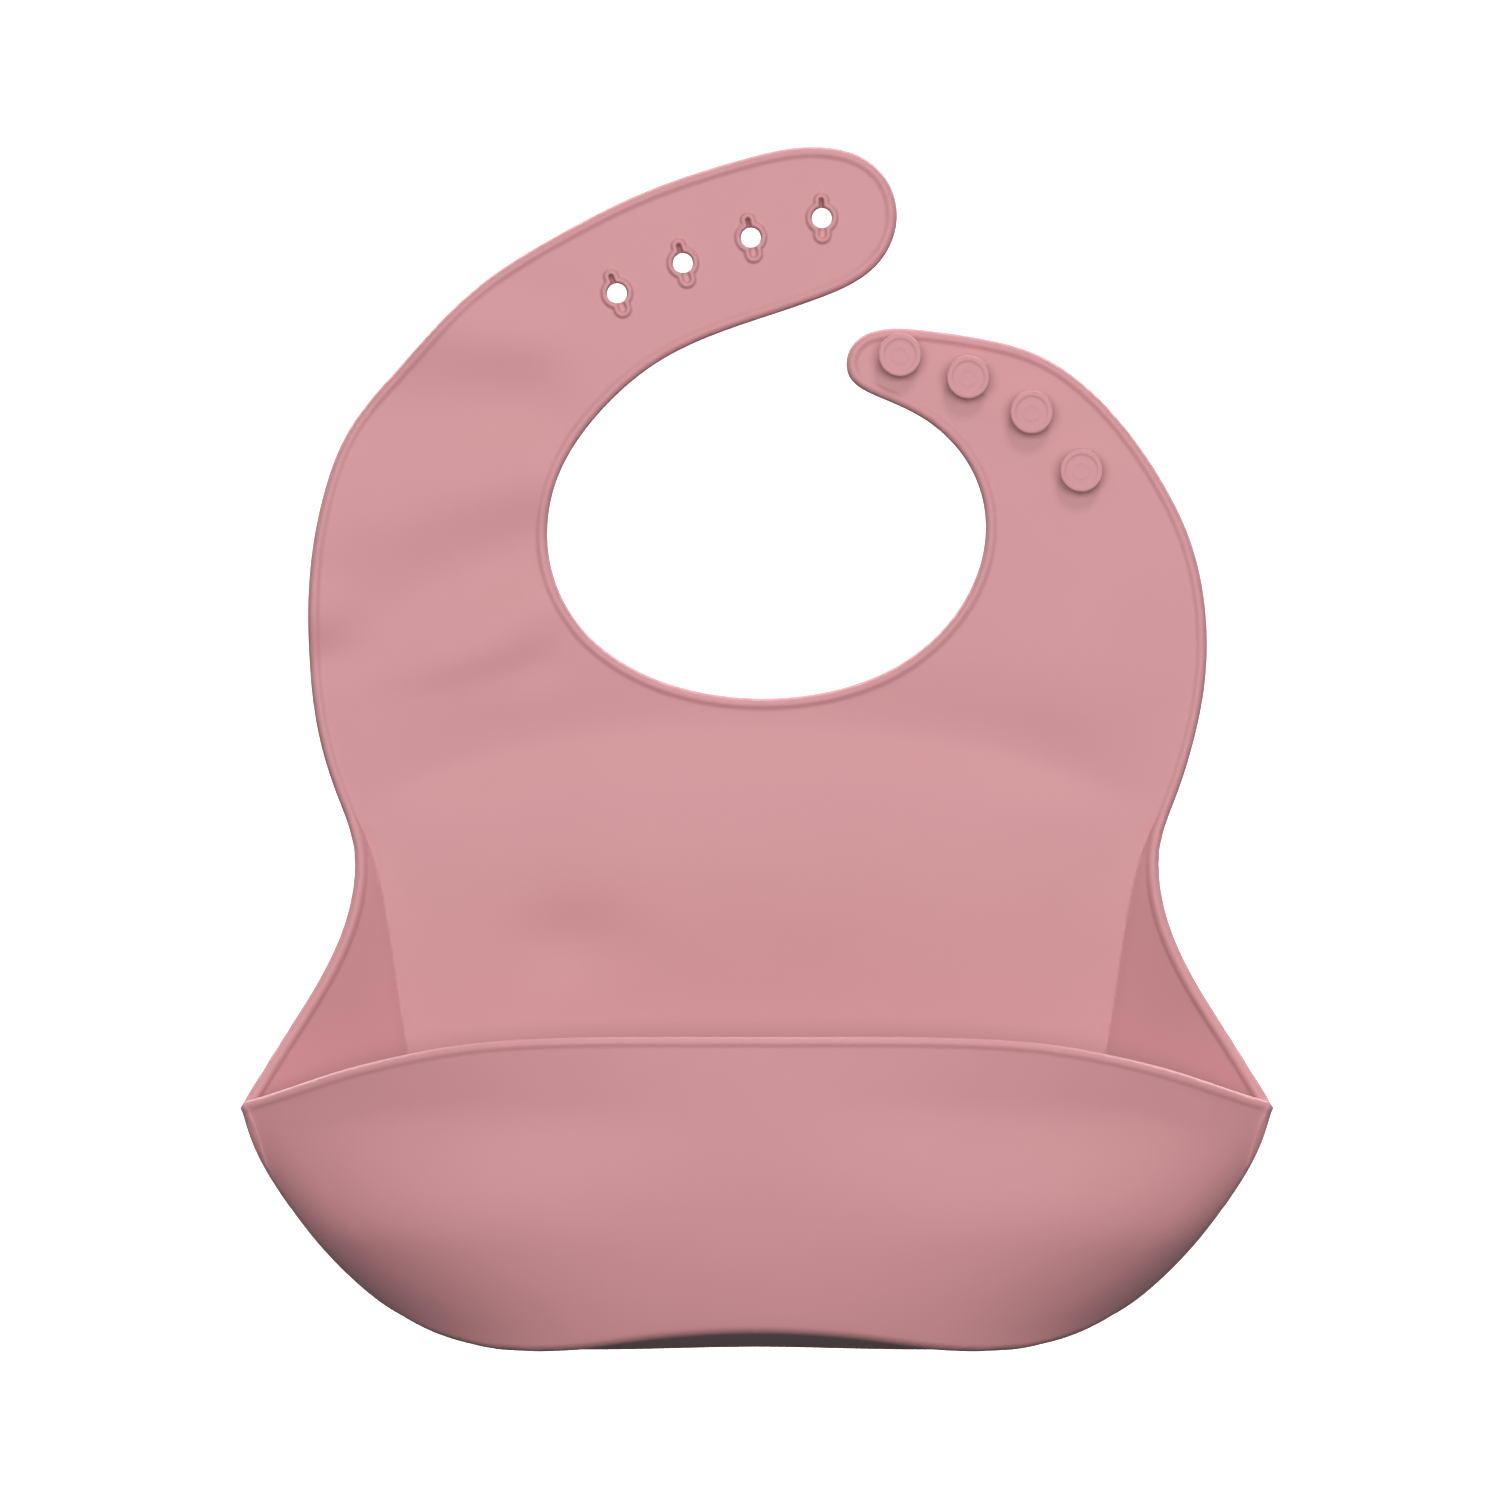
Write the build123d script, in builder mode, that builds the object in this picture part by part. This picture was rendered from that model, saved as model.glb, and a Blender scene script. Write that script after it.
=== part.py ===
from build123d import *
import math
import os

os.makedirs("parts", exist_ok=True)

# A silicone bib: a flat sheet with two neck straps and a wide catch pocket in front.
# Millimetres. X runs to the viewer's right, Y backwards and Z up.
# The origin is the centre of the neck opening, half way through the sheet.

panel_t = 2.0  # the sheet's thickness
bead_t = 3.0  # the raised rim's thickness
bead_w = 2.4  # the rim's width seen from the front
lip_w = 2.0  # the pocket lip's rim

# where the sheet bends
strap_hinge_z = 3.0
waist_z = -65.0
strap_clear_r = 2.4
waist_clear_r = 3.0

# the pocket
corner_z = -132.5  # height of the two pointed corners
floor_top_z = -184.3  # top of the floor moulding
wall_foot_z = -182.3  # foot of the moving front wall
wall_half = 70.0  # half the width of the front wall that moves
wall_gap = 0.2

# the fastening: four keyholes on one strap, four studs on the other
hole_r = 2.3
collar_r = 3.6
collar_t = 3.2
stud_stem_r = 2.1
stud_head_r = 5.0
eyelet_spots = [(-32.9, 58.1, 20), (-17.4, 65.2, 14), (-1.4, 71.2, 10), (15.3, 75.8, 2)]
stud_spots = [(33.6, 43.3), (49.6, 38.1), (64.5, 29.9), (76.2, 16.2)]

# the sheet's outline in X and Z, in order: up the right side, round the short strap's end,
# round the neck, round the long strap's end and down the left side
right_points = [(95.5, -70), (102.8, -48.2), (105.9, -22), (103.2, -4), (94.8, 14.8), (80.7, 33.2)]
right_points += [(66.6, 43.3), (48, 48.6), (29.2, 49.9)]
stud_end = [(29.2, 49.9), (21.1, 41.8), (25.9, 34.4)]
neck_right = [(25.9, 34.4), (38.4, 29), (47.8, 20.5), (53.2, 8), (52, -7), (45.6, -18.8)]
neck_right += [(33.6, -28.9), (18, -35.2), (2, -37.3)]
neck_left = [(2, -37.3), (-13.4, -36), (-27.5, -31.3), (-40, -22), (-48, -8), (-48, 9), (-41.6, 24.6)]
neck_left += [(-30, 36.6), (-16, 45.6), (0, 52.2), (21.2, 59.5)]
hole_end = [(21.2, 59.5), (33, 76), (12.1, 92.6)]
left_points = [(12.1, 92.6), (-18, 85.4), (-46.4, 72.2), (-72.2, 53.6), (-90, 34.5), (-101.7, 11.8)]
left_points += [(-105.4, -18.8), (-102.8, -48.2), (-95.5, -70)]

# the apron below the waist: height, back panel's half width, free edge's half width
apron_rows = [
    (-70.0, 92.4, 95.2),
    (-80.0, 88.5, 93.9),
    (-95.0, 86.0, 98.0),
    (-107.0, 84.0, 104.4),
    (-119.0, 82.0, 112.6),
    (corner_z, 80.0, 120.0),
]

# the bowl of the pocket: height, back's half width, side's half width, side's y, front's y
bowl_rows = [
    (-112.0, 81.0, 127.0, -21.0, -46.0),
    (corner_z, 80.0, 120.0, -19.0, -40.5),
    (-150.0, 79.0, 112.5, -17.0, -34.5),
    (-165.0, 78.0, 101.8, -14.0, -29.0),
    (-178.0, 76.0, 89.0, -10.0, -22.5),
    (-185.0, 70.0, 78.0, -6.5, -18.0),
    (-190.0, 48.0, 53.0, -1.0, -2.0),
]


def edge_y(z):
    """How far forward the gusset's free edge stands at a height."""
    return -19.0 * (waist_z - 1 - z) / (waist_z - 1 - corner_z)


def save(piece, name):
    piece.part.label = name
    export_step(piece.part, f"parts/{name}.step")


# ---------- hinge tools: each plane's x runs along the bend and its z points at the moving side ----------
strap_plane = Plane(origin=(0, 0, strap_hinge_z), x_dir=(1, 0, 0), z_dir=(0, 0, 1))
waist_plane = Plane(origin=(0, 0, waist_z), x_dir=(1, 0, 0), z_dir=(0, 0, -1))
hole_tip_plane = Plane(origin=(-47.5, 0, 47.5), x_dir=(1, 0, -1), z_dir=(1, 0, 1))
stud_tip_plane = Plane(origin=(68.5, 0, 22.4), x_dir=(0.948, 0, 0.3193), z_dir=(-0.3193, 0, 0.948))


def beyond(plane, clear_r):
    """What a fixed side gives up: everything past the bend, and room to swing."""
    with BuildPart(plane) as block:
        Box(300, 40, 200, align=(Align.CENTER, Align.CENTER, Align.MIN))
    with BuildPart(plane) as swing:
        Cylinder(clear_r, 300, rotation=(0, 90, 0))
    return [block.part, swing.part]


def before(plane, nose_r):
    """What a moving side gives up: everything short of the bend, but for a rounded nose."""
    with BuildPart(plane) as tool:
        Box(300, 40, 200, align=(Align.CENTER, Align.CENTER, Align.MAX))
        Cylinder(nose_r, 300, rotation=(0, 90, 0), mode=Mode.SUBTRACT)
    return tool.part


def half(sign):
    """Everything on one side of the middle."""
    with BuildPart() as tool:
        with Locations((sign * 150, 0, 0)):
            Box(300, 100, 600)
    return tool.part


# ---------- the flat sheet ----------
def smooth(places, start, end):
    """A curve through places that leaves and arrives in given directions."""
    return Spline(places, tangents=[start.normalized(), end.normalized()], tangent_scalars=[1, 1])


with BuildLine() as ends:
    stud_arc = ThreePointArc(*stud_end)
    hole_arc = ThreePointArc(*hole_end)
with BuildLine() as sides:
    right_side = smooth(right_points, Vector(0.4, 0.92), stud_arc.tangent_at(0))
    neck_down = smooth(neck_right, stud_arc.tangent_at(1), Vector(-1, 0))
    neck_up = smooth(neck_left, Vector(-1, 0), hole_arc.tangent_at(0))
    left_side = smooth(left_points, hole_arc.tangent_at(1), Vector(0.4, -0.92))
outline_edges = [right_side, stud_arc, neck_down, neck_up, hole_arc, left_side]


def moved_in(edge, count):
    """A curve the rim's width inside an edge, through count places square to it."""
    places = []
    for step in range(count):
        place = edge.position_at(step / (count - 1))
        along = edge.tangent_at(step / (count - 1))
        places.append((place.X - bead_w * along.Y, place.Y + bead_w * along.X))
    with BuildLine() as line:
        smooth(places, edge.tangent_at(0), edge.tangent_at(1))
    return line.edges()[0]


inset_edges = [moved_in(e, n) for e, n in zip(outline_edges, (17, 5, 21, 21, 7, 17))]

with BuildSketch() as sheet_field:
    with BuildLine():
        for e in inset_edges:
            add(e)
        Line(inset_edges[-1].position_at(1), inset_edges[0].position_at(0))
    make_face()



def band(edge, inner_edge):
    """The rim along one edge of the outline."""
    with BuildSketch() as strip:
        with BuildLine():
            add(edge)
            add(inner_edge)
            Line(edge.position_at(0), inner_edge.position_at(0))
            Line(edge.position_at(1), inner_edge.position_at(1))
        make_face()
    return strip.sketch


bands = [band(e, i) for e, i in zip(outline_edges, inset_edges)]
right_rim, stud_end_rim, neck_rim_right, neck_rim_left, hole_end_rim, left_rim = bands
field = sheet_field.sketch


def sheet_piece(outlines, thickness, cutters):
    """A piece of the sheet: outlines made solid, less what the cutters take."""
    with BuildPart() as piece:
        for face in outlines:
            with BuildSketch(Plane.XZ):
                add(face)
            extrude(amount=thickness / 2, both=True)
        for cutter in cutters:
            add(cutter, mode=Mode.SUBTRACT)
    return piece


# chest
chest_cuts = beyond(strap_plane, strap_clear_r) + beyond(waist_plane, waist_clear_r)
save(sheet_piece([field], panel_t, chest_cuts), "chest_panel")
save(sheet_piece([neck_rim_left, neck_rim_right], bead_t, chest_cuts), "neck_bead")
save(sheet_piece([left_rim], bead_t, chest_cuts), "chest_bead_left")
save(sheet_piece([right_rim], bead_t, chest_cuts), "chest_bead_right")

# hole strap, root
root_cuts = [half(1)] + beyond(hole_tip_plane, strap_clear_r)
panel_cuts = root_cuts + [before(strap_plane, panel_t / 2)]
bead_cuts = root_cuts + [before(strap_plane, bead_t / 2)]
save(sheet_piece([field], panel_t, panel_cuts), "hole_strap_panel")
save(sheet_piece([left_rim], bead_t, bead_cuts), "hole_strap_bead_outer")
save(sheet_piece([neck_rim_left], bead_t, bead_cuts), "hole_strap_bead_inner")

# stud strap, root
root_cuts = [half(-1)] + beyond(stud_tip_plane, strap_clear_r)
panel_cuts = root_cuts + [before(strap_plane, panel_t / 2)]
bead_cuts = root_cuts + [before(strap_plane, bead_t / 2)]
save(sheet_piece([field], panel_t, panel_cuts), "stud_strap_panel")
save(sheet_piece([right_rim], bead_t, bead_cuts), "stud_strap_bead_outer")
save(sheet_piece([neck_rim_right], bead_t, bead_cuts), "stud_strap_bead_inner")

# the moving strap ends: only what lies past their own bend and above the shoulder
with BuildPart() as below_shoulder:
    with Locations((0, 0, -150 + strap_hinge_z)):
        Box(400, 60, 300)
with BuildPart() as stud_side:
    with BuildSketch(Plane.XZ):
        with BuildLine():
            Polyline((10, 0), (10, 54), (60, 56), (130, 56), (130, 0), close=True)
        make_face()
    extrude(amount=30, both=True)
with BuildPart() as hole_side:
    with Locations((0, 0, 60)):
        Box(400, 60, 200)
    add(stud_side.part, mode=Mode.SUBTRACT)


# ---------- keyhole eyelets ----------
def keyhole_plane(x, z, tilt):
    lean = math.radians(tilt)
    return Plane(origin=(x, 0, z), x_dir=(math.cos(lean), 0, math.sin(lean)), z_dir=(0, -1, 0))


with BuildSketch() as collar_outline:
    Circle(collar_r)
    SlotOverall(11.0, 4.2, rotation=90)

with BuildPart() as tip_panel:
    with BuildSketch(Plane.XZ):
        add(field)
    extrude(amount=panel_t / 2, both=True)
    add(before(hole_tip_plane, panel_t / 2), mode=Mode.SUBTRACT)
    add(stud_side.part, mode=Mode.SUBTRACT)
    add(below_shoulder.part, mode=Mode.SUBTRACT)
    for x, z, tilt in eyelet_spots:
        with BuildSketch(keyhole_plane(x, z, tilt)):
            add(collar_outline.sketch)
        extrude(amount=panel_t, both=True, mode=Mode.SUBTRACT)
save(tip_panel, "hole_tip_panel")

tip_cuts = [before(hole_tip_plane, bead_t / 2), stud_side.part, below_shoulder.part]
save(sheet_piece([left_rim, hole_end_rim, neck_rim_left], bead_t, tip_cuts), "hole_tip_bead")

for number, (x, z, tilt) in enumerate(eyelet_spots, start=1):
    with BuildPart() as eyelet:
        with BuildSketch(keyhole_plane(x, z, tilt)):
            add(collar_outline.sketch)
        extrude(amount=collar_t / 2, both=True)
        # the round hole, the slit above it and the shallow closed lobe below it
        with BuildSketch(keyhole_plane(x, z, tilt)):
            Circle(hole_r)
            with Locations((0, 3.1)):
                Rectangle(1.0, 3.0)
        extrude(amount=collar_t, both=True, mode=Mode.SUBTRACT)
        with BuildSketch(keyhole_plane(x, z, tilt).offset(collar_t / 2)):
            with Locations((0, -3.4)):
                Rectangle(2.4, 2.6)
        extrude(amount=-0.8, mode=Mode.SUBTRACT)
    save(eyelet, f"eyelet_{number}")

# ---------- stud strap, end ----------
tip_cuts = [before(stud_tip_plane, panel_t / 2), hole_side.part, below_shoulder.part]
save(sheet_piece([field], panel_t, tip_cuts), "stud_tip_panel")
tip_cuts = [before(stud_tip_plane, bead_t / 2), hole_side.part, below_shoulder.part]
save(sheet_piece([right_rim, stud_end_rim, neck_rim_right], bead_t, tip_cuts), "stud_tip_bead")

for number, (x, z) in enumerate(stud_spots, start=1):
    with BuildPart() as stud:
        with Locations(Plane(origin=(x, -panel_t / 2, z), z_dir=(0, -1, 0))):
            Cylinder(stud_stem_r, 2.8, align=(Align.CENTER, Align.CENTER, Align.MIN))
            with Locations((0, 0, 2.6)):
                Cylinder(stud_head_r, 2.4, align=(Align.CENTER, Align.CENTER, Align.MIN))
        rims = stud.edges().filter_by(GeomType.CIRCLE).filter_by(lambda e: e.radius > 4.9)
        fillet(rims, 0.8)
        with Locations(Plane(origin=(x, -panel_t / 2 - 5.0, z), z_dir=(0, -1, 0))):
            Cylinder(3.4, 0.8, mode=Mode.SUBTRACT)
    save(stud, f"stud_{number}")

# ---------- the apron's flat back panel ----------
back_points = [(94.4, waist_z + 2)] + [(b, z) for z, b, e in apron_rows]
back_points += [(b, z) for z, b, x, y, f in bowl_rows[2:]]
with BuildPart() as back_panel:
    with BuildSketch(Plane.XZ):
        with BuildLine():
            Polyline(back_points + [(-x, z) for x, z in reversed(back_points)], close=True)
        make_face()
    extrude(amount=panel_t / 2, both=True)
    add(before(waist_plane, panel_t / 2), mode=Mode.SUBTRACT)
save(back_panel, "back_panel")


# ---------- gussets: the side facets that turn forward, and their free beaded edge ----------
def side_strip(rows, thickness, side):
    """A strip through rows of (z, inner x, inner y, outer x, outer y)."""
    with BuildPart() as strip:
        for z, x1, y1, x2, y2 in rows:
            with BuildSketch(Plane.XY.offset(z)):
                with BuildLine():
                    near = (side * x1, y1)
                    far = (side * x2, y2)
                    Polyline(
                        (near[0], near[1] - thickness / 2),
                        (far[0], far[1] - thickness / 2),
                        (far[0], far[1] + thickness / 2),
                        (near[0], near[1] + thickness / 2),
                        close=True,
                    )
                make_face()
        loft(ruled=True)
    return strip


gusset_rows = [(z, b, 0, e - bead_w, edge_y(z) * (e - bead_w - b) / (e - b)) for z, b, e in apron_rows]
edge_rows = [(z, e - bead_w, y2, e, edge_y(z)) for (z, b, e), (_, _, _, _, y2) in zip(apron_rows, gusset_rows)]
top_row = (waist_z + 1.6, 94.6, 0, 97.0, 0)
free_edges = {}
for side, name in ((-1, "left"), (1, "right")):
    save(side_strip(gusset_rows, panel_t, side), f"gusset_{name}")
    with BuildPart() as edge:
        add(side_strip([top_row] + edge_rows, bead_t, side).part)
        add(before(waist_plane, bead_t / 2), mode=Mode.SUBTRACT)
        add(back_panel.part, mode=Mode.SUBTRACT)
    save(edge, f"gusset_bead_{name}")
    free_edges[side] = edge.part


# ---------- the pocket ----------
def bowl_solid(rows, back_y):
    with BuildPart() as bowl:
        for z, b, x, y, f in rows:
            with BuildSketch(Plane.XY.offset(z)):
                with BuildLine():
                    Line((-b, back_y), (b, back_y))
                    Line((b, back_y), (x, y))
                    shoulder = y + (f - y) * 0.72
                    Spline((x, y), (0.62 * x, shoulder), (0, f), (-0.62 * x, shoulder), (-x, y))
                    Line((-x, y), (-b, back_y))
                make_face()
        loft(ruled=True)
    return bowl.part


def bowl_shell(grow):
    """The pocket's skin: outer form less inner form, each moved out by grow."""
    outer = [(z, b, x + grow, y, f - grow) for z, b, x, y, f in bowl_rows]
    inner = [(z, b - 2, x - 4.6 - grow, y + 0.4, f + 2 + grow) for z, b, x, y, f in bowl_rows[:-2]]
    inner += [(-184.0, 66.0, 72.0 - grow, -7.0, -15.8 + grow), (-187.4, 50.0, 52.0, -2.4, -3.4)]
    inner[0] = (inner[0][0] + 1,) + inner[0][1:]
    with BuildPart() as shell:
        add(bowl_solid(outer, panel_t / 2))
        add(bowl_solid(inner, -panel_t / 2), mode=Mode.SUBTRACT)
        # above the corners only the skin in front of the gussets stays
        with BuildSketch(Plane.YZ):
            with BuildLine():
                Polyline(
                    (edge_y(corner_z), corner_z),
                    (edge_y(corner_z) + 8, corner_z + 40),
                    (40, corner_z + 40),
                    (40, corner_z),
                    close=True,
                )
            make_face()
        extrude(amount=200, both=True, mode=Mode.SUBTRACT)
        add(back_panel.part, mode=Mode.SUBTRACT)
    return shell.part


def above_lip(drop):
    """Everything above the pocket's lip line, lowered by drop."""
    lip = [(-124, -134), (-99, -125.4), (-70, -118.8), (0, -116.4), (70, -118.8), (99, -125.4), (124, -134)]
    points = [(x, z - drop) for x, z in lip]
    with BuildPart() as tool:
        with BuildSketch(Plane.XZ):
            with BuildLine():
                Spline(points)
                Polyline(points[-1], (140, -90), (-140, -90), points[0])
            make_face()
        extrude(amount=120, both=True)
    return tool.part


def slab(x1, x2, z1, z2, back=100):
    """A block in front of a depth, between two widths and two heights."""
    with BuildPart() as tool:
        with Locations(((x1 + x2) / 2, back, (z1 + z2) / 2)):
            Box(x2 - x1, 200, z2 - z1, align=(Align.CENTER, Align.MAX, Align.CENTER))
    return tool.part


skin = bowl_shell(0)
thick_skin = bowl_shell(0.4)
wide = wall_half + wall_gap
with BuildPart() as pocket_floor:
    add(skin)
    add(slab(-150, 150, -220, floor_top_z), mode=Mode.INTERSECT)
save(pocket_floor, "pocket_floor")

with BuildPart() as front_wall:
    add(skin)
    add(slab(wall_gap - wall_half, wall_half - wall_gap, wall_foot_z, -100, -4), mode=Mode.INTERSECT)
    add(above_lip(lip_w), mode=Mode.SUBTRACT)
save(front_wall, "front_wall")

with BuildPart() as lip_centre:
    add(thick_skin)
    add(slab(wall_gap - wall_half, wall_half - wall_gap, -160, -100), mode=Mode.INTERSECT)
    add(above_lip(0), mode=Mode.SUBTRACT)
    add(above_lip(lip_w), mode=Mode.INTERSECT)
save(lip_centre, "lip_bead_centre")

for side, name in ((-1, "left"), (1, "right")):
    inner_x, outer_x = sorted((side * wide, side * 150))
    with BuildPart() as cheek:
        add(skin)
        add(slab(inner_x, outer_x, floor_top_z, -100), mode=Mode.INTERSECT)
        add(above_lip(lip_w), mode=Mode.SUBTRACT)
    save(cheek, f"cheek_{name}")
    with BuildPart() as lip_side:
        add(thick_skin)
        add(slab(inner_x, outer_x, corner_z, -100), mode=Mode.INTERSECT)
        add(above_lip(0), mode=Mode.SUBTRACT)
        add(above_lip(lip_w), mode=Mode.INTERSECT)
        add(free_edges[side], mode=Mode.SUBTRACT)
    with BuildPart() as lip_piece:
        add(lip_side.part.solids().sort_by(SortBy.VOLUME)[-1])
    save(lip_piece, f"lip_bead_{name}")
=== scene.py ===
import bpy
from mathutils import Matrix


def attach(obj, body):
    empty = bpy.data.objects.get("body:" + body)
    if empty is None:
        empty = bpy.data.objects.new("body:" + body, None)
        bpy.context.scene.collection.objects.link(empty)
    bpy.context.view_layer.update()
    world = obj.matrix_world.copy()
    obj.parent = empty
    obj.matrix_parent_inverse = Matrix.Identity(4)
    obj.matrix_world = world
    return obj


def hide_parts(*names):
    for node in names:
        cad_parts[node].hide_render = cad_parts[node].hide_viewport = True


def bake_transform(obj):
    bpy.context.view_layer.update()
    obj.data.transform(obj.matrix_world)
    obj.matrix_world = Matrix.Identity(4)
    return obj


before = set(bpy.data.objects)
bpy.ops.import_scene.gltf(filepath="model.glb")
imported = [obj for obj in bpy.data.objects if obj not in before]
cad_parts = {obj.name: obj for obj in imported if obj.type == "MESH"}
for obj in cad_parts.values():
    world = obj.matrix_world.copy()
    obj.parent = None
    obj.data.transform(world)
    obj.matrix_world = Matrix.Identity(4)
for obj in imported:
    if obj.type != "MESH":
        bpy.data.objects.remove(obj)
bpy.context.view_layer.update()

import math

import bpy
import numpy as np
from mathutils import Vector
from mathutils.geometry import delaunay_2d_cdt

# A silicone bib. Lengths in millimetres until the meshes are made: X to the right, Z up, -Y to the front.
# The whole bib is one sheet. Its back half (straps, chest, back panel, side gussets) and its front half
# (the pocket's front) are both heights over the XZ plane, joined along the pocket's silhouette.

# ---------------------------------------------------------------- curves


def cubic(knots, values):
    """A natural cubic through values at knots, as a function."""
    t = np.asarray(knots, float)
    p = np.asarray(values, float)
    n = len(t)
    gap = np.diff(t)
    system = np.eye(n)
    right = np.zeros_like(p)
    for i in range(1, n - 1):
        system[i, i - 1 : i + 2] = gap[i - 1], 2 * (gap[i - 1] + gap[i]), gap[i]
        right[i] = 6 * ((p[i + 1] - p[i]) / gap[i] - (p[i] - p[i - 1]) / gap[i - 1])
    bend = np.linalg.solve(system, right)

    def at(x):
        x = np.clip(np.asarray(x, float), t[0], t[-1])
        k = np.clip(np.searchsorted(t, x) - 1, 0, n - 2)
        a, b = t[k + 1] - x, x - t[k]
        g = gap[k]
        if p.ndim == 2:
            a, b, g = a[:, None], b[:, None], g[:, None]
        ends = (bend[k] * a**3 + bend[k + 1] * b**3) / (6 * g)
        return ends + (p[k] / g - bend[k] * g / 6) * a + (p[k + 1] / g - bend[k + 1] * g / 6) * b

    return at


def table(rows):
    """A smooth function through rows of (where, value)."""
    rows = sorted(rows)
    return cubic([r[0] for r in rows], [r[1] for r in rows])


def curve(points, step):
    """Evenly spaced places along a smooth curve through points."""
    p = np.array(points, float)
    t = np.concatenate([[0], np.cumsum(np.linalg.norm(np.diff(p, axis=0), axis=1))])
    at = cubic(t, p)
    samples = 4000
    dense = at(np.linspace(0, t[-1], samples))
    along = np.concatenate([[0], np.cumsum(np.linalg.norm(np.diff(dense, axis=0), axis=1))])
    count = int(round(along[-1] / step)) + 1
    even = np.interp(np.linspace(0, along[-1], count), along, np.arange(len(along)))
    return at(even * t[-1] / (samples - 1))


def mirrored(points):
    """Points on the left and the middle, then the same on the right."""
    return points + [(-x, z) for x, z in reversed(points) if x != 0]


# ---------------------------------------------------------------- outlines

# the side's free edge, from the pocket's right corner up to the chest
side_edge = [(119.2, -131.2), (112.2, -119.5), (104.4, -107), (98.2, -95), (94.6, -82), (95, -71)]
side_edge += [(98.8, -60), (102.6, -48)]
# the whole free edge, from the pocket's right corner over both straps to its left corner
free_points = side_edge + [(105.5, -33), (105.5, -16), (102.5, -1.5), (95, 14.5), (85.5, 28), (76, 37.5)]
free_points += [(66.5, 43.5), (52.5, 47.5), (38.5, 49.5), (29, 49.5), (22.5, 46), (21.5, 39), (29, 33.5)]
free_points += [(38.5, 29), (48, 20.5), (53, 10), (53.5, -1.5), (48, -15.5), (34, -29), (15, -36)]
free_points += [(-9, -36.5), (-27.5, -31), (-42.5, -19), (-49, -3), (-46.5, 15.5), (-37, 30), (-23, 42)]
free_points += [(-4, 50.5), (15, 57), (28.5, 65), (33, 76), (28.5, 87.5), (15, 92.5), (-4, 89.5)]
free_points += [(-27.5, 81.5), (-46.5, 72), (-66.5, 59), (-84, 41), (-96, 26), (-102, 10.5)]
free_points += [(-105, -6), (-105.5, -24)]
free_points += [(-x, z) for x, z in reversed(side_edge)]
# the pocket's silhouette below its corners, where its front meets its back
bowl_edge = mirrored(
    [(-119.2, -131.2), (-116.2, -141), (-109.5, -153.5), (-98.5, -167.8), (-84.5, -180), (-66, -187.6)]
    + [(-46, -189.4), (-22, -189.2), (0, -188.8)]
)
# the lip of the pocket's front, from corner to corner
lip_points = mirrored(
    [(-119.2, -131.2), (-111, -128.6), (-98.5, -124.3), (-83, -120.2), (-69.5, -117.6), (-50, -115.9)]
    + [(-25, -115.4), (0, -115.4)]
)
# each keyhole's middle and how far it leans anticlockwise, in degrees
keyholes = [(-32.9, 58.1, 20), (-17.4, 65.2, 14), (-1.4, 71.2, 10), (15.3, 75.8, 2)]
# each stud's middle
studs = [(33.6, 43.3), (49.6, 38.1), (64.5, 29.9), (76.2, 16.2)]

# the spacing of points along the outlines
fine = 1.1
free_edge = curve(free_points, fine)
bowl_line = curve(bowl_edge, fine)
lip_line = curve(lip_points, fine)
bowl_line[0], bowl_line[-1] = free_edge[-1], free_edge[0]
lip_line[0], lip_line[-1] = free_edge[-1], free_edge[0]

# the radius of a keyhole's round hole
hole_r = 2.3


def ring(r, count=56):
    """Points of a circle about the origin."""
    turn = np.linspace(0, 2 * math.pi, count, endpoint=False)
    return np.stack([r * np.cos(turn), r * np.sin(turn)], 1)


def placed(local, x, z, tilt):
    """Points given about a keyhole's own middle and lean, in the bib's plane."""
    lean = math.radians(tilt)
    turn = np.array([[math.cos(lean), math.sin(lean)], [-math.sin(lean), math.cos(lean)]])
    return local @ turn + (x, z)


def unplaced(p, x, z, tilt):
    """Points of the bib's plane, about a keyhole's own middle and lean."""
    lean = math.radians(-tilt)
    turn = np.array([[math.cos(lean), math.sin(lean)], [-math.sin(lean), math.cos(lean)]])
    return (p - (x, z)) @ turn


hole_loops = [placed(ring(hole_r), *k) for k in keyholes]

# ---------------------------------------------------------------- distances

# how many points are measured at once
batch = 4000


def nearest(p, line, closed=False):
    """(distance to a polyline, how far along it in segments) for each point."""
    a = line
    b = np.roll(line, -1, 0) if closed else line[1:]
    a = a if closed else line[:-1]
    ab = b - a
    size = (ab**2).sum(1)
    best = np.full(len(p), 1e9)
    where = np.zeros(len(p))
    for start in range(0, len(p), batch):
        part = p[start : start + batch]
        t = np.clip(((part[:, None] - a[None]) * ab[None]).sum(2) / size, 0, 1)
        gap = np.linalg.norm(part[:, None] - a[None] - t[..., None] * ab[None], axis=2)
        k = gap.argmin(1)
        rows = np.arange(len(part))
        best[start : start + batch] = gap[rows, k]
        where[start : start + batch] = k + t[rows, k]
    return best, where


def inside(p, loop):
    """Which points lie within a closed loop."""
    a, b = loop, np.roll(loop, -1, 0)
    hit = np.zeros(len(p), bool)
    for start in range(0, len(p), batch):
        x, y = p[start : start + batch, 0, None], p[start : start + batch, 1, None]
        cross = (a[:, 1] > y) != (b[:, 1] > y)
        with np.errstate(divide="ignore", invalid="ignore"):
            at = (b[:, 0] - a[:, 0]) * (y - a[:, 1]) / (b[:, 1] - a[:, 1]) + a[:, 0]
        hit[start : start + batch] = (cross & (x < at)).sum(1) % 2 == 1
    return hit


def loops_inside(line, depths, side):
    """Rows of points beside a line at growing depths; side 1 is to the left of its direction."""
    along = np.gradient(line, axis=0)
    along /= np.linalg.norm(along, axis=1)[:, None]
    normal = side * np.stack([-along[:, 1], along[:, 0]], 1)
    return [(line + normal * d, d) for d in depths]


# ---------------------------------------------------------------- the form


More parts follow.
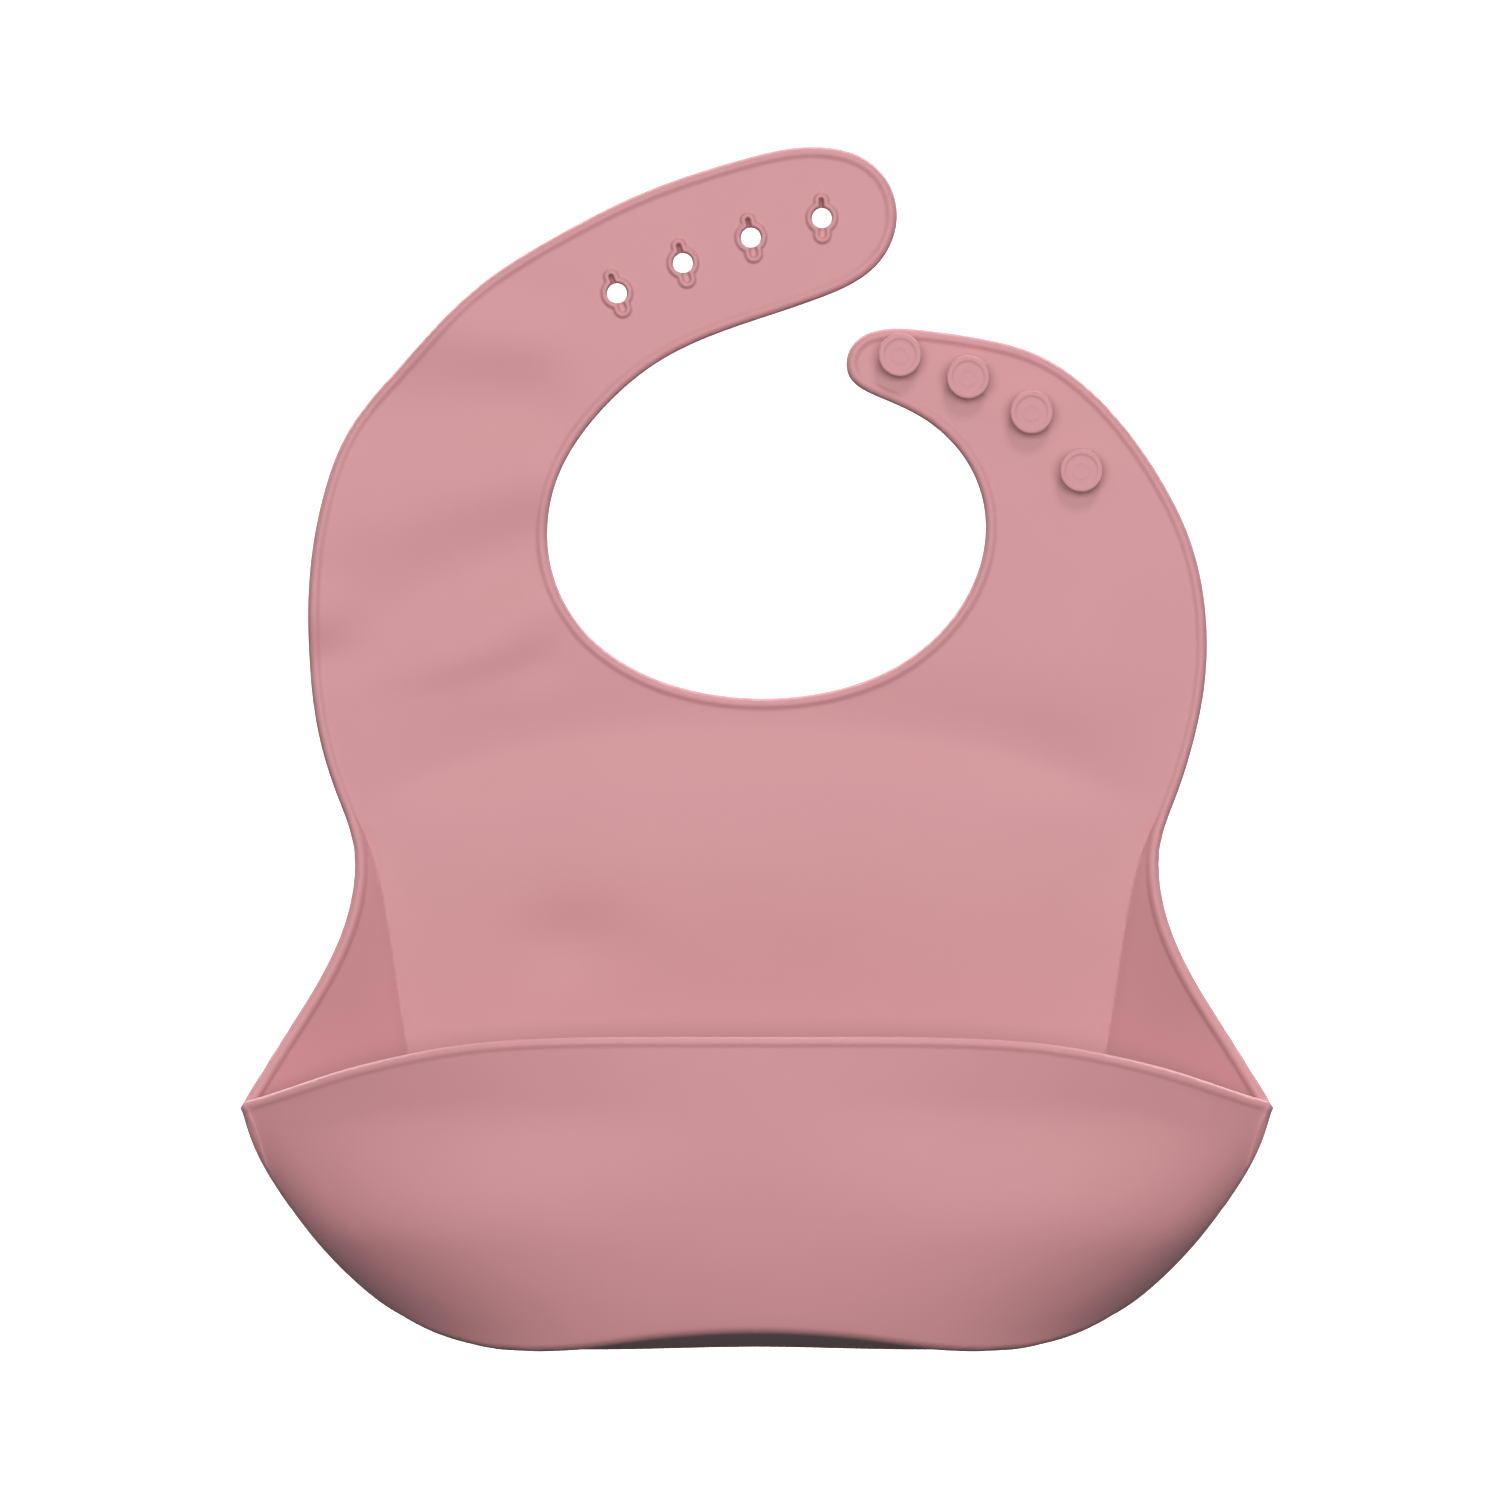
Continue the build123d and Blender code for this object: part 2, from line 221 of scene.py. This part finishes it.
def soft_max(a, b, w):
    """The larger of two values, rounded over where they cross; w is the width of the round."""
    return 0.5 * (a + b + np.sqrt((a - b) ** 2 + w * w))


def smooth(t):
    """An even step from 0 to 1 as t goes from 0 to 1."""
    t = np.clip(t, 0, 1)
    return t * t * (3 - 2 * t)


# just below the pocket's corners, where the silhouette takes over from the free edge
corner_z = -132.5
# the height above them where the side gussets begin
gusset_top_z = -52

# how far out the crease between the back panel and a gusset lies, by height
crease = table(
    [(-190, 54), (-186, 64), (-178, 74), (-165, 78), (-150, 79), (-132.5, 80), (-120, 82), (-99, 85.3)]
    + [(-78, 89), (-68, 92.5), (-60, 99), (-50, 112)]
)
# how far out the sheet's edge lies, by height, above and below the corners
edge_above = table([(z, x) for x, z in side_edge[:7]] + [(-50, 102)])
edge_below = table([(z, -x) for x, z in bowl_edge[:6]] + [(-190, 50)])
# how far forward the gusset's outer edge stands, by height
edge_depth = table(
    [(-190, 0.8), (-185, 2.2), (-178, 5.5), (-165, 11.5), (-150, 18), (-131, 23), (-119, 18.3), (-107, 13.8)]
    + [(-95, 9.3), (-82, 5), (-70, 1.3), (-62, 0.1), (-50, 0)]
)
# the pocket's front: how far forward its middle and its sides stand and how wide it is, by height
wall_depth = table(
    [(-190, 37), (-185, 38.2), (-178, 39.8), (-165, 42), (-150, 43.6), (-132.5, 44.6), (-112, 45.5)]
)
wall_side = table([(-190, 1), (-185, 3.2), (-178, 6.5), (-165, 12.5), (-150, 19), (-131, 24), (-112, 28)])
wall_half = table(
    [(-190, 80), (-185, 83), (-178, 89.5), (-165, 102.2), (-150, 112), (-132.5, 120.2), (-112, 127)]
)
# how steeply the underside comes forward from the silhouette, by distance from the middle
floor_slope = table([(0, 6.6), (17, 7.2), (37, 12), (52, 21), (64, 25), (90, 26), (120, 26)])


def swell(x, z, cx, cz, along, across, turn, height):
    """A soft oval swelling."""
    c, s = math.cos(math.radians(turn)), math.sin(math.radians(turn))
    u = (x - cx) * c + (z - cz) * s
    v = -(x - cx) * s + (z - cz) * c
    return height * np.exp(-((u / along) ** 2) - (v / across) ** 2)


def relief(x, z):
    """How far the flat parts stand forward of their plane, in soft waves."""
    # the arched hollow across the chest
    valley = -44.5 - 12.5 * np.power(np.abs(x) / 83, 2.3)
    reach = smooth((98 - np.abs(x)) / 34)
    width = np.where(z > valley, 13.0, 7.0)
    out = -1.5 * reach * np.exp(-(((z - valley) / width) ** 2))
    # slanting waves on the wide shoulder, and a bump at its outer edge
    across = z - (x + 78) * (0.4 - 0.012 * z)
    shoulder = smooth((-38 - x) / 18) * smooth((66 - z) / 22) * smooth((z + 38) / 12)
    out = out + 0.85 * shoulder * np.cos(2 * math.pi * (across - 10) / 44)
    out = out + swell(x, z, -104, -18, 13, 8, 0, 1.1)
    # a swelling below the narrow shoulder, and two broad ones in the middle under the hollow
    out = out + swell(x, z, 78, -28, 34, 17, 80, 1.2)
    out = out + swell(x, z, 0, -66, 50, 26, 0, 1.4)
    out = out + swell(x, z, 0, -86, 85, 22, 0, 1.4)
    # the dimple left of the middle
    out = out - swell(x, z, -44, -94, 15, 10, 0, 1.1)
    out = out - swell(x, z, -44, -112, 24, 20, 0, 0.9)
    # a fine groove along the gusset's crease
    fold = np.abs(x) - crease(z)
    return out - 0.6 * np.exp(-(((fold - 0.4) / 1.1) ** 2)) * smooth((-62 - z) / 10)


def back_height(p):
    """Y of the back half of the sheet."""
    x, z = p[:, 0], p[:, 1]
    half = np.where(z > corner_z, edge_above(z), edge_below(z))
    fold = crease(z)
    crease_round = 2.6
    ramp = soft_max(np.abs(x) - fold, 0, crease_round)
    full = soft_max(half - fold, 0, crease_round)
    r = np.clip(ramp / full, 0, 1.2)
    # below the corners the gusset turns into the pocket's rounded end
    low = smooth((corner_z - z) / 26)
    power = 1 - 0.36 * low
    nose = 1 - np.power(np.clip(1 - np.power(np.clip(r, 0, 1), 1 + 0.35 * low), 0, 1), power)
    r = np.where(r > 1, r, r * (1 - low) + nose * low)
    y = -edge_depth(z) * r * smooth((gusset_top_z - z) / 12)
    # the edge turns forward where it meets the pocket's front
    near, _ = nearest(p, bowl_line)
    y = y - 1.3 * np.clip(1 - near / 1.5, 0, 1) ** 2
    return y - relief(x, z)


bowl_y = back_height(bowl_line)


def front_height(p):
    """Y of the pocket's front."""
    x, z = p[:, 0], p[:, 1]
    low = smooth((-130 - z) / 34)
    reach = np.clip(np.abs(x) / wall_half(z), 0, 1)
    # a rounded wall between the corners
    dome = np.power(np.clip(1 - np.power(reach, 1.8 + 0.9 * low), 0, 1), 1 - 0.48 * low)
    side = wall_side(z)
    wall = -side - (wall_depth(z) - side) * dome
    # the underside, which comes forward from the silhouette to the wall
    near, where = nearest(p, bowl_line)
    edge = np.interp(where, np.arange(len(bowl_y)), bowl_y)
    floor = edge - floor_slope(np.abs(x)) * near
    round_off = 0.8 + 1.0 * low
    y = soft_max(wall, floor, round_off)
    lift = soft_max(wall, edge, round_off) - edge
    return y - lift * np.exp(-near / 1.0)


# ---------------------------------------------------------------- the sheet's mesh


def fill(loop, holes, rows, spacing, margin, extra):
    """Triangles over a region: its loop and holes, rows of points beside them, and an even field between.

    Returns the points, the triangles and, for each point, which given point it was (-1 for a new one).
    """
    closest = 0.18
    collar_reach = 8.8
    edges = []
    points = []
    for line in [loop] + holes:
        start = len(points)
        points += [tuple(q) for q in line]
        edges += [(start + i, start + (i + 1) % len(line)) for i in range(len(line))]
    taken = {(round(x / closest), round(z / closest)) for x, z in points}
    for line, depth in rows:
        gap = np.min([nearest(line, outline, True)[0] for outline in [loop] + holes], 0)
        for q in line[gap > 0.94 * depth]:
            key = (round(q[0] / closest), round(q[1] / closest))
            if key not in taken:
                taken.add(key)
                points.append(tuple(q))
    for q in extra:
        points.append(tuple(q))
    low, high = loop.min(0), loop.max(0)
    grid = []
    for row, z in enumerate(np.arange(low[1], high[1], spacing * 0.87)):
        for x in np.arange(low[0] + (row % 2) * spacing / 2, high[0], spacing):
            grid.append((x, z))
    grid = np.array(grid)
    gap = nearest(grid, loop, True)[0]
    for h in holes:
        gap = np.where(np.linalg.norm(grid - h.mean(0), axis=1) < collar_reach, 0, gap)
    grid = grid[(gap > margin) & inside(grid, loop)]
    points += [tuple(q) for q in grid]
    made = delaunay_2d_cdt([Vector(q) for q in points], edges, [], 0, 1e-6, True)
    where, faces, origin = made[0], made[2], made[3]
    where = np.array([tuple(q) for q in where])
    faces = np.array([f for f in faces if len(f) == 3])
    middle = where[faces].mean(1)
    keep = inside(middle, loop)
    for h in holes:
        keep &= ~inside(middle, h)
    first = np.array([o[0] if o else -1 for o in origin])
    return where, faces[keep], first


# depths of the rows of points beside the free edge and the lip, and inside the silhouette on the front
# half and on the back half
rim_rows = [0.1, 0.35, 0.7, 1.15, 1.65, 2.05, 2.4, 2.75, 3.15, 4.0]
under_rows = [0.08, 0.3, 0.7] + [1.1 + 0.4 * i for i in range(16)] + [7.9, 9.0]
nose_rows = [0.05, 0.2, 0.45, 0.8, 1.3, 2.0, 3.0, 4.3, 6.0]
spacing = 2.3

back_loop = np.concatenate([free_edge, bowl_line[1:-1]])
back_rows = loops_inside(free_edge, rim_rows, 1) + loops_inside(bowl_line, nose_rows, 1)

# closer points round each keyhole and along the creases
extra = []
cell = 0.3
for k in keyholes:
    for d in (0.05, 0.14, 0.28, 0.5):
        extra += [tuple(q) for q in placed(ring(hole_r + d), *k)]
    patch = [
        (x + (row % 2) * cell / 2, z)
        for row, z in enumerate(np.arange(-6.4, 6.0, cell * 0.87))
        for x in np.arange(-4.4, 4.4, cell)
        if math.hypot(x, z) > hole_r + 0.5 + cell * 0.7
    ]
    extra += [tuple(q) for q in placed(np.array(patch), *k)]
    extra += [tuple(q) for q in placed(ring(7.6, 36), *k)]
for side in (-1, 1):
    for shift in (-3, -1.8, -0.9, 0, 0.9, 1.8, 3):
        for z in np.arange(-176, -72, 2.0):
            extra.append((side * (float(crease(z)) + shift), z + 0.01 * shift))
extra = np.array(extra)
extra_gap = nearest(extra, back_loop, True)[0]
extra = extra[(extra_gap > 4.2) & inside(extra, back_loop)]

back_at, back_faces, back_first = fill(back_loop, hole_loops, back_rows, spacing, 5.2, extra)
front_loop = np.concatenate([lip_line, bowl_line[::-1][1:-1]])
front_rows = loops_inside(lip_line, rim_rows, -1) + loops_inside(bowl_line, under_rows, 1)
no_extra = np.zeros((0, 2))
front_at, front_faces, front_first = fill(front_loop, [], front_rows, spacing, 10.0, no_extra)

back_y = back_height(back_at)
front_y = front_height(front_at)

# join the halves: the points of the bowl's line are the same in both
n_free, n_bowl, n_lip = len(free_edge), len(bowl_line), len(lip_line)
back_id = {int(o): i for i, o in enumerate(back_first) if 0 <= o < len(back_loop)}
bowl_back = [n_free - 1] + [n_free + i for i in range(n_bowl - 2)] + [0]
bowl_front = [0] + [n_lip + n_bowl - 3 - i for i in range(n_bowl - 2)] + [n_lip - 1]
front_id = {int(o): i for i, o in enumerate(front_first) if 0 <= o < len(front_loop)}
at = np.concatenate([back_at, front_at])
y = np.concatenate([back_y, front_y])
merge = np.arange(len(at))
for b, f in zip(bowl_back, bowl_front):
    merge[len(back_at) + front_id[f]] = back_id[b]
verts = np.stack([at[:, 0], y, at[:, 1]], 1)
faces = np.concatenate([back_faces, merge[front_faces + len(back_at)]])
is_front = np.concatenate([np.zeros(len(back_faces), bool), np.ones(len(front_faces), bool)])

# every face's normal points to the sheet's inner side: forwards on the back half, backwards on the front half
normal = np.cross(verts[faces[:, 1]] - verts[faces[:, 0]], verts[faces[:, 2]] - verts[faces[:, 0]])
wrong = np.where(is_front, normal[:, 1] < 0, normal[:, 1] > 0)
faces[wrong] = faces[wrong][:, ::-1]
normal[wrong] *= -1
vertex_normal = np.zeros_like(verts)
for i in range(3):
    np.add.at(vertex_normal, faces[:, i], normal)
vertex_normal /= np.maximum(np.linalg.norm(vertex_normal, axis=1), 1e-9)[:, None]

# along the silhouette the normals are evened, each over its neighbours on both sides
neighbours = 10
window = 2 * neighbours + 1
bowl_ids = np.array([back_id[b] for b in bowl_back])
padded = np.pad(vertex_normal[bowl_ids], ((neighbours, neighbours), (0, 0)), mode="edge")
evened = np.stack([np.convolve(padded[:, i], np.full(window, 1 / window), "valid") for i in range(3)], 1)
vertex_normal[bowl_ids] = evened / np.linalg.norm(evened, axis=1)[:, None]

# ---------------------------------------------------------------- thickness and rim


def along_edge(line, heights):
    """A line of the XZ plane with its heights, in space."""
    return np.stack([line[:, 0], heights, line[:, 1]], 1)


free_line = along_edge(free_edge, back_height(free_edge))
lip_3d = along_edge(lip_line, front_height(lip_line))
to_free, _ = nearest(verts, free_line)
to_lip, _ = nearest(verts, lip_3d)


def rim_half(d, rim, flat, width):
    """Half the thickness at a distance from a free edge: a round bead, then the flat sheet."""
    bead = np.sqrt(np.clip(rim**2 - np.clip(rim - d, 0, rim) ** 2, 0, None))
    fall = 0.5 + 0.5 * np.cos(math.pi * np.clip((d - rim) / (width - rim), 0, 1))
    return np.where(d < rim, bead, flat + (rim - flat) * fall)


sheet_half = 1.0
free_half = rim_half(to_free, 1.5, sheet_half, 3.0)
lip_half = rim_half(to_lip, 1.3, sheet_half, 2.5)
half = np.where(to_free < to_lip, free_half, lip_half)

# each keyhole: a raised collar round a round hole, a deep slot above it and a shallow lobe below it
flat_xz = verts[:, [0, 2]]
dip = np.zeros(len(verts))
for k in keyholes:
    close = np.linalg.norm(flat_xz - (k[0], k[1]), axis=1) < 9
    own = unplaced(flat_xz[close], *k)
    to_hole = np.linalg.norm(own, axis=1) - hole_r
    to_slot = np.hypot(own[:, 0], own[:, 1] - np.clip(own[:, 1], 2.0, 4.1)) - 0.4
    to_lobe = np.hypot(own[:, 0], own[:, 1] - np.clip(own[:, 1], -4.0, -3.2)) - 0.9
    collar = np.minimum(to_hole, np.minimum(to_slot + 0.1, to_lobe + 0.25))
    top = sheet_half + 0.65 * smooth((1.65 - collar) / 0.6)
    edge = np.sqrt(np.clip(1 - np.clip(1 - to_hole / 0.5, 0, 1) ** 2, 0, 1))
    half[close] = top * edge
    recess = np.maximum(2.2 * smooth((0.15 - to_slot) / 0.3), 0.75 * smooth((0.15 - to_lobe) / 0.45))
    dip[close] = recess * smooth(to_hole / 0.4)

front_side = verts + vertex_normal * (half - dip)[:, None]
back_side = verts - vertex_normal * half[:, None]


def surface_normals(points, polygons, seal, other_points, other_polygons):
    """Vertex normals of one side of the sheet, shared with the other side along the sealed rim."""
    total = np.zeros_like(points)
    for p, f, keep in ((points, polygons, None), (other_points, other_polygons, seal)):
        flat = np.cross(p[f[:, 1]] - p[f[:, 0]], p[f[:, 2]] - p[f[:, 0]])
        part = np.zeros_like(points)
        for i in range(3):
            np.add.at(part, f[:, i], flat)
        total += part if keep is None else part * keep[:, None]
    return total / np.maximum(np.linalg.norm(total, axis=1), 1e-12)[:, None]


seal = half < 1e-6
inner_normal = surface_normals(front_side, faces, seal, back_side, faces[:, ::-1])
outer_normal = surface_normals(back_side, faces[:, ::-1], seal, front_side, faces)

# ---------------------------------------------------------------- the sheet's pieces

# which faces belong to which piece, from where their middles lie
middle = verts[faces].mean(1)
mx, mz = middle[:, 0], middle[:, 2]
diagonal = 0.7071
hole_bend_x = -47.5
hole_bend_z = 47.5
beyond_bend = (mx - hole_bend_x) * diagonal + (mz - hole_bend_z) * diagonal
left_strap = (~is_front) & (mz > -18) & ((mx < 10) | (mz > 54))
right_strap = (~is_front) & (mz > -8) & ~left_strap & (mx > 0)
in_hole_end = left_strap & (beyond_bend > -16)
in_stud_end = right_strap & (mz > (mx - 2) * 0.1763)
in_pocket = is_front | (mz < -86)
zones = {
    "hole_strap_end_skin": in_hole_end,
    "hole_strap_skin": left_strap & ~in_hole_end,
    "stud_strap_skin": right_strap & ~in_stud_end,
    "stud_strap_end_skin": in_stud_end,
    "chest_skin": ~(left_strap | right_strap | in_pocket),
    "pocket_skin": in_pocket,
}


def skin(name, chosen):
    """A closed piece of the sheet: inner side, outer side, and a wall where it was cut from the rest."""
    part = faces[chosen]
    used, local = np.unique(part, return_inverse=True)
    part = local.reshape(-1, 3)
    n = len(used)
    outer = np.full(n, -1)
    open_rim = ~seal[used]
    outer[~open_rim] = np.arange(n)[~open_rim]
    outer[open_rim] = n + np.arange(open_rim.sum())
    points = np.concatenate([front_side[used], back_side[used][open_rim]])
    normals = np.concatenate([inner_normal[used], outer_normal[used][open_rim]])
    sides = np.concatenate([part[:, [0, 1]], part[:, [1, 2]], part[:, [2, 0]]])
    known = {(a, b) for a, b in sides.tolist()}
    walls = []
    for a, b in sides.tolist():
        if (b, a) not in known and not (outer[a] == a and outer[b] == b):
            ring_of_four = [b, a, int(outer[a]), int(outer[b])]
            walls.append(list(dict.fromkeys(ring_of_four)))
    mesh = bpy.data.meshes.new(name)
    mesh.from_pydata((points * 0.001).tolist(), [], part.tolist() + outer[part[:, ::-1]].tolist() + walls)
    mesh.update()
    mesh.shade_smooth()
    first_wall = 2 * len(part)
    for polygon in list(mesh.polygons)[first_wall:]:
        polygon.use_smooth = False
    flat = [tuple(polygon.normal) for polygon in list(mesh.polygons)[first_wall:]]
    corner = [tuple(normals[v]) for polygon in list(mesh.polygons)[:first_wall] for v in polygon.vertices]
    for normal_of_wall, wall in zip(flat, walls):
        corner += [normal_of_wall] * len(wall)
    mesh.normals_split_custom_set(corner)
    obj = bpy.data.objects.new(name, mesh)
    bpy.context.scene.collection.objects.link(obj)
    return obj


# ---------------------------------------------------------------- silicone


def silicone():
    """Dull pink silicone with a faint grain and a faint unevenness."""
    material = bpy.data.materials.new("silicone")
    material.use_nodes = True
    nodes, links = material.node_tree.nodes, material.node_tree.links
    shader = nodes["Principled BSDF"]
    where = nodes.new("ShaderNodeTexCoord")
    cloud = nodes.new("ShaderNodeTexNoise")
    cloud.inputs["Scale"].default_value = 14
    cloud.inputs["Detail"].default_value = 3
    tint = nodes.new("ShaderNodeMix")
    tint.data_type = "RGBA"
    tint.inputs["A"].default_value = (0.50, 0.222, 0.239, 1)
    tint.inputs["B"].default_value = (0.53, 0.24, 0.258, 1)
    grain = nodes.new("ShaderNodeTexNoise")
    grain.inputs["Scale"].default_value = 2600
    grain.inputs["Detail"].default_value = 2
    ripple = nodes.new("ShaderNodeTexNoise")
    ripple.inputs["Scale"].default_value = 55
    ripple.inputs["Detail"].default_value = 1
    fine_bump = nodes.new("ShaderNodeBump")
    fine_bump.inputs["Strength"].default_value = 0.12
    fine_bump.inputs["Distance"].default_value = 0.0001
    soft_bump = nodes.new("ShaderNodeBump")
    soft_bump.inputs["Strength"].default_value = 0.25
    soft_bump.inputs["Distance"].default_value = 0.0006
    links.new(where.outputs["Object"], cloud.inputs["Vector"])
    links.new(where.outputs["Object"], grain.inputs["Vector"])
    links.new(where.outputs["Object"], ripple.inputs["Vector"])
    links.new(cloud.outputs["Fac"], tint.inputs["Factor"])
    links.new(tint.outputs["Result"], shader.inputs["Base Color"])
    links.new(ripple.outputs["Fac"], soft_bump.inputs["Height"])
    links.new(grain.outputs["Fac"], fine_bump.inputs["Height"])
    links.new(soft_bump.outputs["Normal"], fine_bump.inputs["Normal"])
    links.new(fine_bump.outputs["Normal"], shader.inputs["Normal"])
    shader.inputs["Roughness"].default_value = 0.52
    shader.inputs["IOR"].default_value = 1.41
    shader.inputs["Sheen Weight"].default_value = 0.12
    shader.inputs["Sheen Roughness"].default_value = 0.5
    return material


pink = silicone()
pieces = {name: skin(name, chosen) for name, chosen in zones.items()}
for obj in pieces.values():
    obj.data.materials.append(pink)


def metres(x, y, z):
    """Millimetres to metres."""
    return (x * 0.001, y * 0.001, z * 0.001)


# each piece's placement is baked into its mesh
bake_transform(pieces["hole_strap_end_skin"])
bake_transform(pieces["hole_strap_skin"])
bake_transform(pieces["stud_strap_skin"])
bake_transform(pieces["stud_strap_end_skin"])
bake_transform(pieces["chest_skin"])
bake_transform(pieces["pocket_skin"])

# the CAD nodes that each piece takes the place of
eyelets = [f"eyelet_{i}" for i in range(1, 5)]
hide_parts("hole_tip_panel", "hole_tip_bead", *eyelets)
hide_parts("hole_strap_panel", "hole_strap_bead_outer", "hole_strap_bead_inner")
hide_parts("stud_strap_panel", "stud_strap_bead_outer", "stud_strap_bead_inner")
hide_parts("stud_tip_panel", "stud_tip_bead")
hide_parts("chest_panel", "neck_bead", "chest_bead_left", "chest_bead_right")
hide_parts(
    "back_panel", "gusset_left", "gusset_right", "gusset_bead_left",
    "gusset_bead_right", "cheek_left", "cheek_right", "lip_bead_left", "lip_bead_right", "pocket_floor",
    "front_wall", "lip_bead_centre",
)

# ---------------------------------------------------------------- studs


def lathe(name, profile, x, y, z, count=72):
    """A turned piece: profile is (radius, how far forward of y)."""
    points, polygons = [], []
    rings = len(profile)
    for r, out in profile:
        for i in range(count):
            angle = 2 * math.pi * i / count
            points.append(metres(x + r * math.cos(angle), y - out, z + r * math.sin(angle)))
    for k in range(rings - 1):
        for i in range(count):
            j = (i + 1) % count
            polygons.append([k * count + i, k * count + j, (k + 1) * count + j, (k + 1) * count + i])
    polygons.append(list(range(count))[::-1])
    polygons.append([(rings - 1) * count + i for i in range(count)])
    mesh = bpy.data.meshes.new(name)
    mesh.from_pydata(points, [], polygons)
    mesh.update()
    mesh.shade_smooth()
    obj = bpy.data.objects.new(name, mesh)
    bpy.context.scene.collection.objects.link(obj)
    return obj


def arc(cx, cy, r, start, end, count):
    """Part of a circle in the profile's plane."""
    turn = np.radians(np.linspace(start, end, count))
    return [(cx + r * math.cos(t), cy + r * math.sin(t)) for t in turn]


# a flared stem under a flat round head, which has a shallow recess and a faint plain ring
stud_profile = [(2.9, 0), (2.5, 0.25), (2.2, 0.7), (2.1, 1.5), (2.15, 2.4), (2.5, 2.75), (3.3, 2.9)]
stud_profile += [(4.3, 3.0), (4.85, 3.1)] + arc(4.65, 4.55, 0.45, 0, 80, 8)
stud_profile += [(4.3, 5.02), (3.95, 5.0), (3.75, 4.94), (3.6, 4.87), (3.4, 4.84), (2.7, 4.84), (2.2, 4.85)]
stud_profile += [(2.0, 4.89), (1.8, 4.9), (1.6, 4.89), (1.4, 4.85), (1.0, 4.84), (0.5, 4.84), (0.02, 4.84)]
for number, (x, z) in enumerate(studs, start=1):
    y = float(back_height(np.array([[x, z]]))[0]) - 0.9
    stud = lathe(f"stud_{number}_form", stud_profile, x, y, z)
    stud.data.materials.append(pink)
    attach(stud, "stud_strap_root" if number == 4 else "stud_strap_tip")
    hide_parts(f"stud_{number}")

# ---------------------------------------------------------------- studio


def plain(name, colour, roughness):
    """A material of one colour."""
    material = bpy.data.materials.new(name)
    material.use_nodes = True
    shader = material.node_tree.nodes["Principled BSDF"]
    shader.inputs["Base Color"].default_value = (*colour, 1)
    shader.inputs["Roughness"].default_value = roughness
    return material


def stage_piece(name, profile, material, count=96):
    """A surface turned about the Z axis: profile is (radius, height)."""
    rings = len(profile)
    turn = np.linspace(0, 2 * math.pi, count, endpoint=False)
    points = [(r * math.cos(a), r * math.sin(a), z) for r, z in profile for a in turn]
    polygons = [list(range(count))]
    for k in range(rings - 1):
        a, b = k * count, (k + 1) * count
        polygons += [[a + i, b + i, b + (i + 1) % count, a + (i + 1) % count] for i in range(count)]
    mesh = bpy.data.meshes.new(name)
    mesh.from_pydata(points, [], polygons)
    mesh.update()
    mesh.shade_smooth()
    obj = bpy.data.objects.new(name, mesh)
    obj.data.materials.append(material)
    bpy.context.scene.collection.objects.link(obj)
    obj.visible_diffuse = False
    obj.visible_glossy = False
    return obj


white = plain("studio white", (0.86, 0.86, 0.86), 0.9)
white_shader = white.node_tree.nodes["Principled BSDF"]
white_shader.inputs["Emission Color"].default_value = (1, 1, 1, 1)
white_shader.inputs["Emission Strength"].default_value = 0.6
sweep = [(2.6 + math.sin(a), 0.68 - math.cos(a)) for a in np.linspace(0, math.pi / 2, 14)]
stage_piece("cyclorama", [(0.3, -0.32), (1.5, -0.32)] + sweep + [(3.6, 5.0)], white)


def lamp(name, place, target, size, watts, height=None):
    """A white rectangular lamp that shines at a target."""
    light = bpy.data.lights.new(name, "AREA")
    light.shape = "RECTANGLE"
    light.size = size
    light.size_y = height or size
    light.energy = watts
    obj = bpy.data.objects.new(name, light)
    obj.location = place
    obj.rotation_euler = (Vector(target) - Vector(place)).to_track_quat("-Z", "Y").to_euler()
    obj.visible_camera = False
    bpy.context.scene.collection.objects.link(obj)


lamp("key", (0.35, -1.4, 1.4), (0, 0, -0.06), 0.45, 10.4)
lamp("front", (0.05, -2.15, 0.24), (0, 0, -0.06), 2.2, 46.5, height=1.0)
lamp("back left", (-0.9, 0.95, 0.9), (0, 0, -0.06), 0.6, 16)
lamp("back right", (0.9, 0.95, 0.9), (0, 0, -0.06), 0.6, 16)
lamp("back wash", (0.0, 0.9, 2.2), (0, 3.0, 0.2), 2.0, 90)

# a white world, dim below and brighter above
world = bpy.data.worlds.new("studio")
world.use_nodes = True
sky = world.node_tree
direction = sky.nodes.new("ShaderNodeTexCoord")
parts = sky.nodes.new("ShaderNodeSeparateXYZ")
fade = sky.nodes.new("ShaderNodeMapRange")
fade.inputs["From Min"].default_value = -0.5
fade.inputs["From Max"].default_value = 0.7
fade.inputs["To Min"].default_value = 0.03
fade.inputs["To Max"].default_value = 0.28
sky.links.new(direction.outputs["Generated"], parts.inputs["Vector"])
sky.links.new(parts.outputs["Z"], fade.inputs["Value"])
sky.links.new(fade.outputs["Result"], sky.nodes["Background"].inputs["Strength"])
sky.nodes["Background"].inputs["Color"].default_value = (1, 1, 1, 1)
bpy.context.scene.world = world

# the camera looks straight at the bib's front; view_width is how much of the bib's plane the picture spans
camera_distance = 2.0
view_width = 0.353
camera_data = bpy.data.cameras.new("camera")
camera_data.sensor_width = 36
camera_data.lens = camera_data.sensor_width * camera_distance / view_width
camera = bpy.data.objects.new("camera", camera_data)
camera.location = (-0.0016, -camera_distance, -0.0494)
camera.rotation_euler = (math.pi / 2, 0, 0)
bpy.context.scene.collection.objects.link(camera)
bpy.context.scene.camera = camera
bpy.context.scene.view_settings.view_transform = "Standard"
